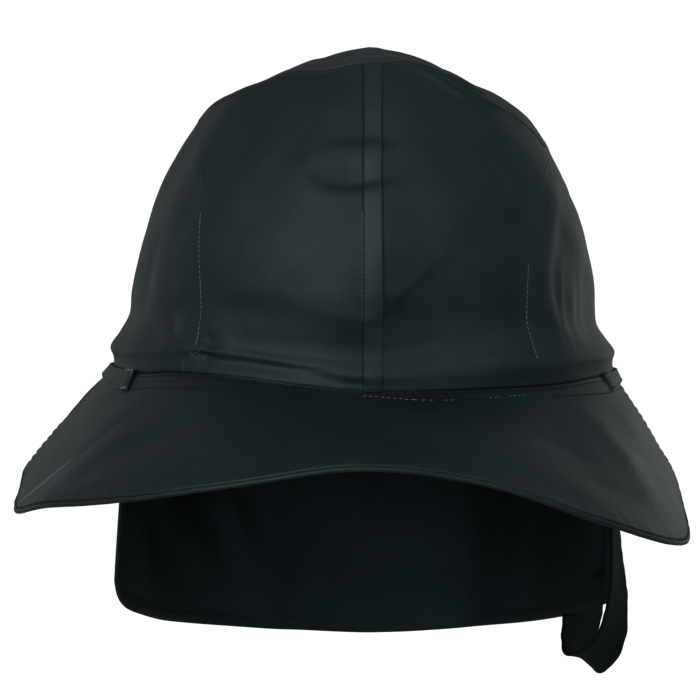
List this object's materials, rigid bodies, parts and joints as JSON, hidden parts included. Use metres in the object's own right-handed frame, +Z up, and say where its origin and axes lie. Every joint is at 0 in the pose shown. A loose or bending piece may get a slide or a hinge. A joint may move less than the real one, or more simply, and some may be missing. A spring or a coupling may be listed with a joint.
{
  "type": "rain hat",
  "caption": "Rain hat of coated cloth with a tall panelled crown, a sloping brim that is longer behind, a neck flap hanging inside it and a webbing chin strap.",
  "frame": {"origin": "centre of the head opening, level with the front of the seam between crown and brim", "axes": "+X to the wearer's left, +Y to the back of the head, +Z up"},
  "size_m": [0.236, 0.3321, 0.2297],
  "materials": {
    "crown_cloth": "satin, black cloth with a rubbery coating",
    "brim_cloth": "satin, black double cloth with a rubbery coating",
    "flap_cloth": "matt inner face of black coated cloth",
    "band_tape": "satin, black coated tape",
    "strap_webbing": "matt black woven webbing"
  },
  "bodies": {
    "root": {"crown_front_left": "crown_cloth", "crown_front_right": "crown_cloth", "crown_back_left": "crown_cloth", "crown_back_right": "crown_cloth", "crown_tip": "crown_cloth", "front_seam_strip": "crown_cloth", "brim_front": "brim_cloth", "brim_back": "brim_cloth", "neck_flap": "flap_cloth", "size_band": "band_tape", "chin_strap": "strap_webbing"}
  },
  "joints": []
}
